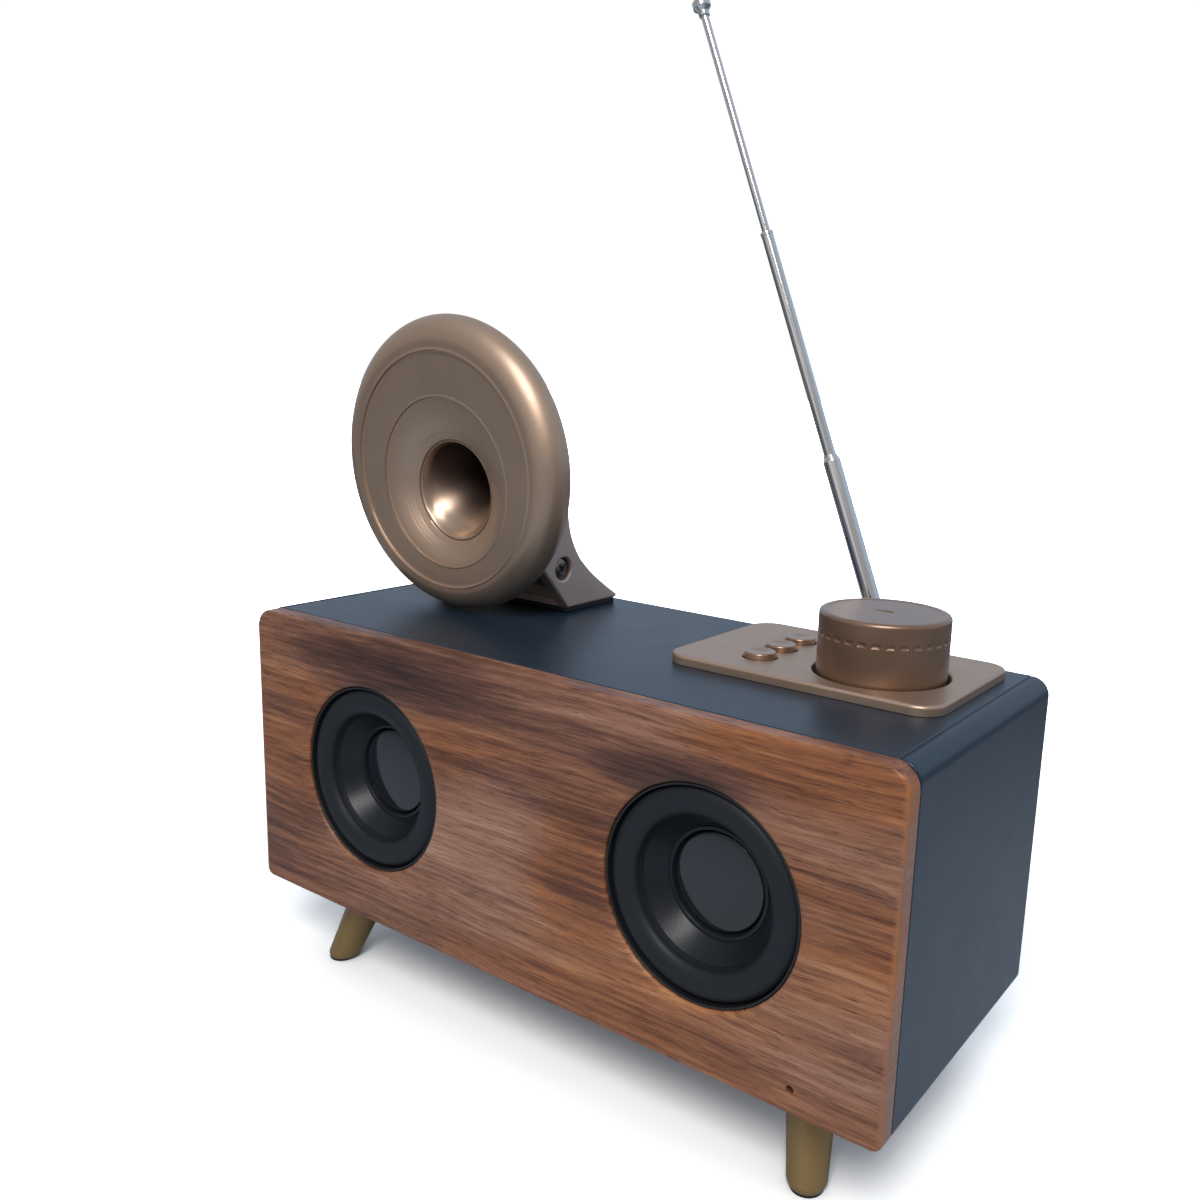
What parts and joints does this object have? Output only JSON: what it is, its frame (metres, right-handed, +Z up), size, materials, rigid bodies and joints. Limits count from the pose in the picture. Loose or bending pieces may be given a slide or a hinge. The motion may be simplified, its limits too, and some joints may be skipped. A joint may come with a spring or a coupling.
{
  "type": "table radio",
  "caption": "Compact box-shaped table radio with wooden front, round loudspeakers, tilting ornamental horn, volume knob, push buttons and telescopic antenna on splayed legs.",
  "frame": {"origin": "on the floor under the middle of the bounding box, between the four feet", "axes": "+Z up, the longest extent, along the antenna's height; +Y towards the back, the shortest extent; +X towards the right-hand side seen from the front"},
  "size_m": [0.2, 0.0919, 0.2767],
  "materials": {
    "walnut": "satin lacquered walnut-like veneer, grain running across",
    "vinyl": "blue-black satin vinyl over board",
    "black_plastic": "moulded black plastic",
    "steel": "plain steel",
    "circuit_board": "green solder mask",
    "cell_wrap": "shrink wrap",
    "brass": "olive-gold satin",
    "rubber": "soft black rubber",
    "cone_paper": "coated black paper",
    "gloss_black": "polished",
    "amber_cloth": "resin-stiffened cloth",
    "bronze": "satin champagne bronze",
    "knob_bronze": "satin brown bronze",
    "chrome": "polished"
  },
  "bodies": {
    "cabinet": {"front_board": "walnut", "front_baffle": "black_plastic", "top_panel": "vinyl", "bottom_panel": "vinyl", "side_panel_left": "vinyl", "side_panel_right": "vinyl", "rear_panel": "vinyl", "rear_screw_1": "steel", "rear_screw_2": "steel", "rear_screw_3": "steel", "rear_screw_4": "steel", "usb_port": "steel", "aux_jack": "black_plastic", "main_board": "circuit_board", "battery_cell": "cell_wrap", "battery_holder": "black_plastic", "leg_front_left": "brass", "foot_pad_front_left": "rubber", "leg_front_right": "brass", "foot_pad_front_right": "rubber", "leg_rear_left": "brass", "foot_pad_rear_left": "rubber", "leg_rear_right": "brass", "foot_pad_rear_right": "rubber", "driver_frame_left": "black_plastic", "surround_left": "rubber", "spider_left": "amber_cloth", "magnet_left": "steel", "driver_frame_right": "black_plastic", "surround_right": "rubber", "spider_right": "amber_cloth", "magnet_right": "steel", "control_plate": "bronze", "encoder": "steel", "control_board": "circuit_board", "horn_bracket": "bronze", "bracket_pad": "rubber", "pivot_bolt_left": "steel", "pivot_bolt_right": "steel", "antenna_base": "black_plastic"},
    "knob": {"knob": "knob_bronze", "knob_shaft": "steel"},
    "button_1": {"button_1": "knob_bronze"},
    "button_2": {"button_2": "knob_bronze"},
    "button_3": {"button_3": "knob_bronze"},
    "power_switch": {"power_slider": "black_plastic"},
    "horn": {"horn_bell": "bronze", "horn_arm": "bronze"},
    "antenna_mount": {"antenna_knuckle": "chrome", "antenna_pin": "chrome"},
    "antenna_lower": {"antenna_tube": "chrome"},
    "antenna_centre": {"antenna_middle": "chrome"},
    "antenna_upper": {"antenna_rod": "chrome", "antenna_tip": "chrome"},
    "cone_left": {"cone_left": "cone_paper", "dust_cap_left": "gloss_black", "voice_coil_left": "amber_cloth"},
    "cone_right": {"cone_right": "cone_paper", "dust_cap_right": "gloss_black", "voice_coil_right": "amber_cloth"}
  },
  "joints": [
    {"name": "knob_turn", "type": "hinge", "parent": "cabinet", "child": "knob", "pos_m": [0.0689, 0.0066, 0.114], "axis": [0, 0, 1], "range_deg": [-150, 150]},
    {"name": "button_1_press", "type": "slide", "parent": "cabinet", "child": "button_1", "axis": [0, 0, -1], "range_m": [0, 0.0006], "stiffness_N_per_m": 900, "springref_m": -0.0006},
    {"name": "button_2_press", "type": "slide", "parent": "cabinet", "child": "button_2", "axis": [0, 0, -1], "range_m": [0, 0.0006], "stiffness_N_per_m": 900, "springref_m": -0.0006},
    {"name": "button_3_press", "type": "slide", "parent": "cabinet", "child": "button_3", "axis": [0, 0, -1], "range_m": [0, 0.0006], "stiffness_N_per_m": 900, "springref_m": -0.0006},
    {"name": "power_slide", "type": "slide", "parent": "cabinet", "child": "power_switch", "axis": [1, 0, 0], "range_m": [0, 0.003]},
    {"name": "horn_tilt", "type": "hinge", "parent": "cabinet", "child": "horn", "pos_m": [-0.0584, 0.0085, 0.1188], "axis": [-1, 0, 0], "range_deg": [0, 12]},
    {"name": "antenna_swing", "type": "hinge", "parent": "cabinet", "child": "antenna_mount", "pos_m": [0.0566, 0.0435, 0.0956], "axis": [0, 1, 0], "range_deg": [-68, 112]},
    {"name": "antenna_fold", "type": "hinge", "parent": "antenna_mount", "child": "antenna_lower", "pos_m": [0.0566, 0.0435, 0.0956], "axis": [-0.9272, 0, -0.3746], "range_deg": [0, 90]},
    {"name": "antenna_slide_lower", "type": "slide", "parent": "antenna_lower", "child": "antenna_centre", "axis": [-0.3746, 0, 0.9272], "range_m": [-0.046, 0]},
    {"name": "antenna_slide_upper", "type": "slide", "parent": "antenna_centre", "child": "antenna_upper", "axis": [-0.3746, 0, 0.9272], "range_m": [-0.058, 0]},
    {"name": "cone_left_travel", "type": "slide", "parent": "cabinet", "child": "cone_left", "axis": [0, 1, 0], "range_m": [-0.001, 0.001], "stiffness_N_per_m": 900, "deforming": ["surround_left", "spider_left"]},
    {"name": "cone_right_travel", "type": "slide", "parent": "cabinet", "child": "cone_right", "axis": [0, 1, 0], "range_m": [-0.001, 0.001], "stiffness_N_per_m": 900, "deforming": ["surround_right", "spider_right"]}
  ]
}
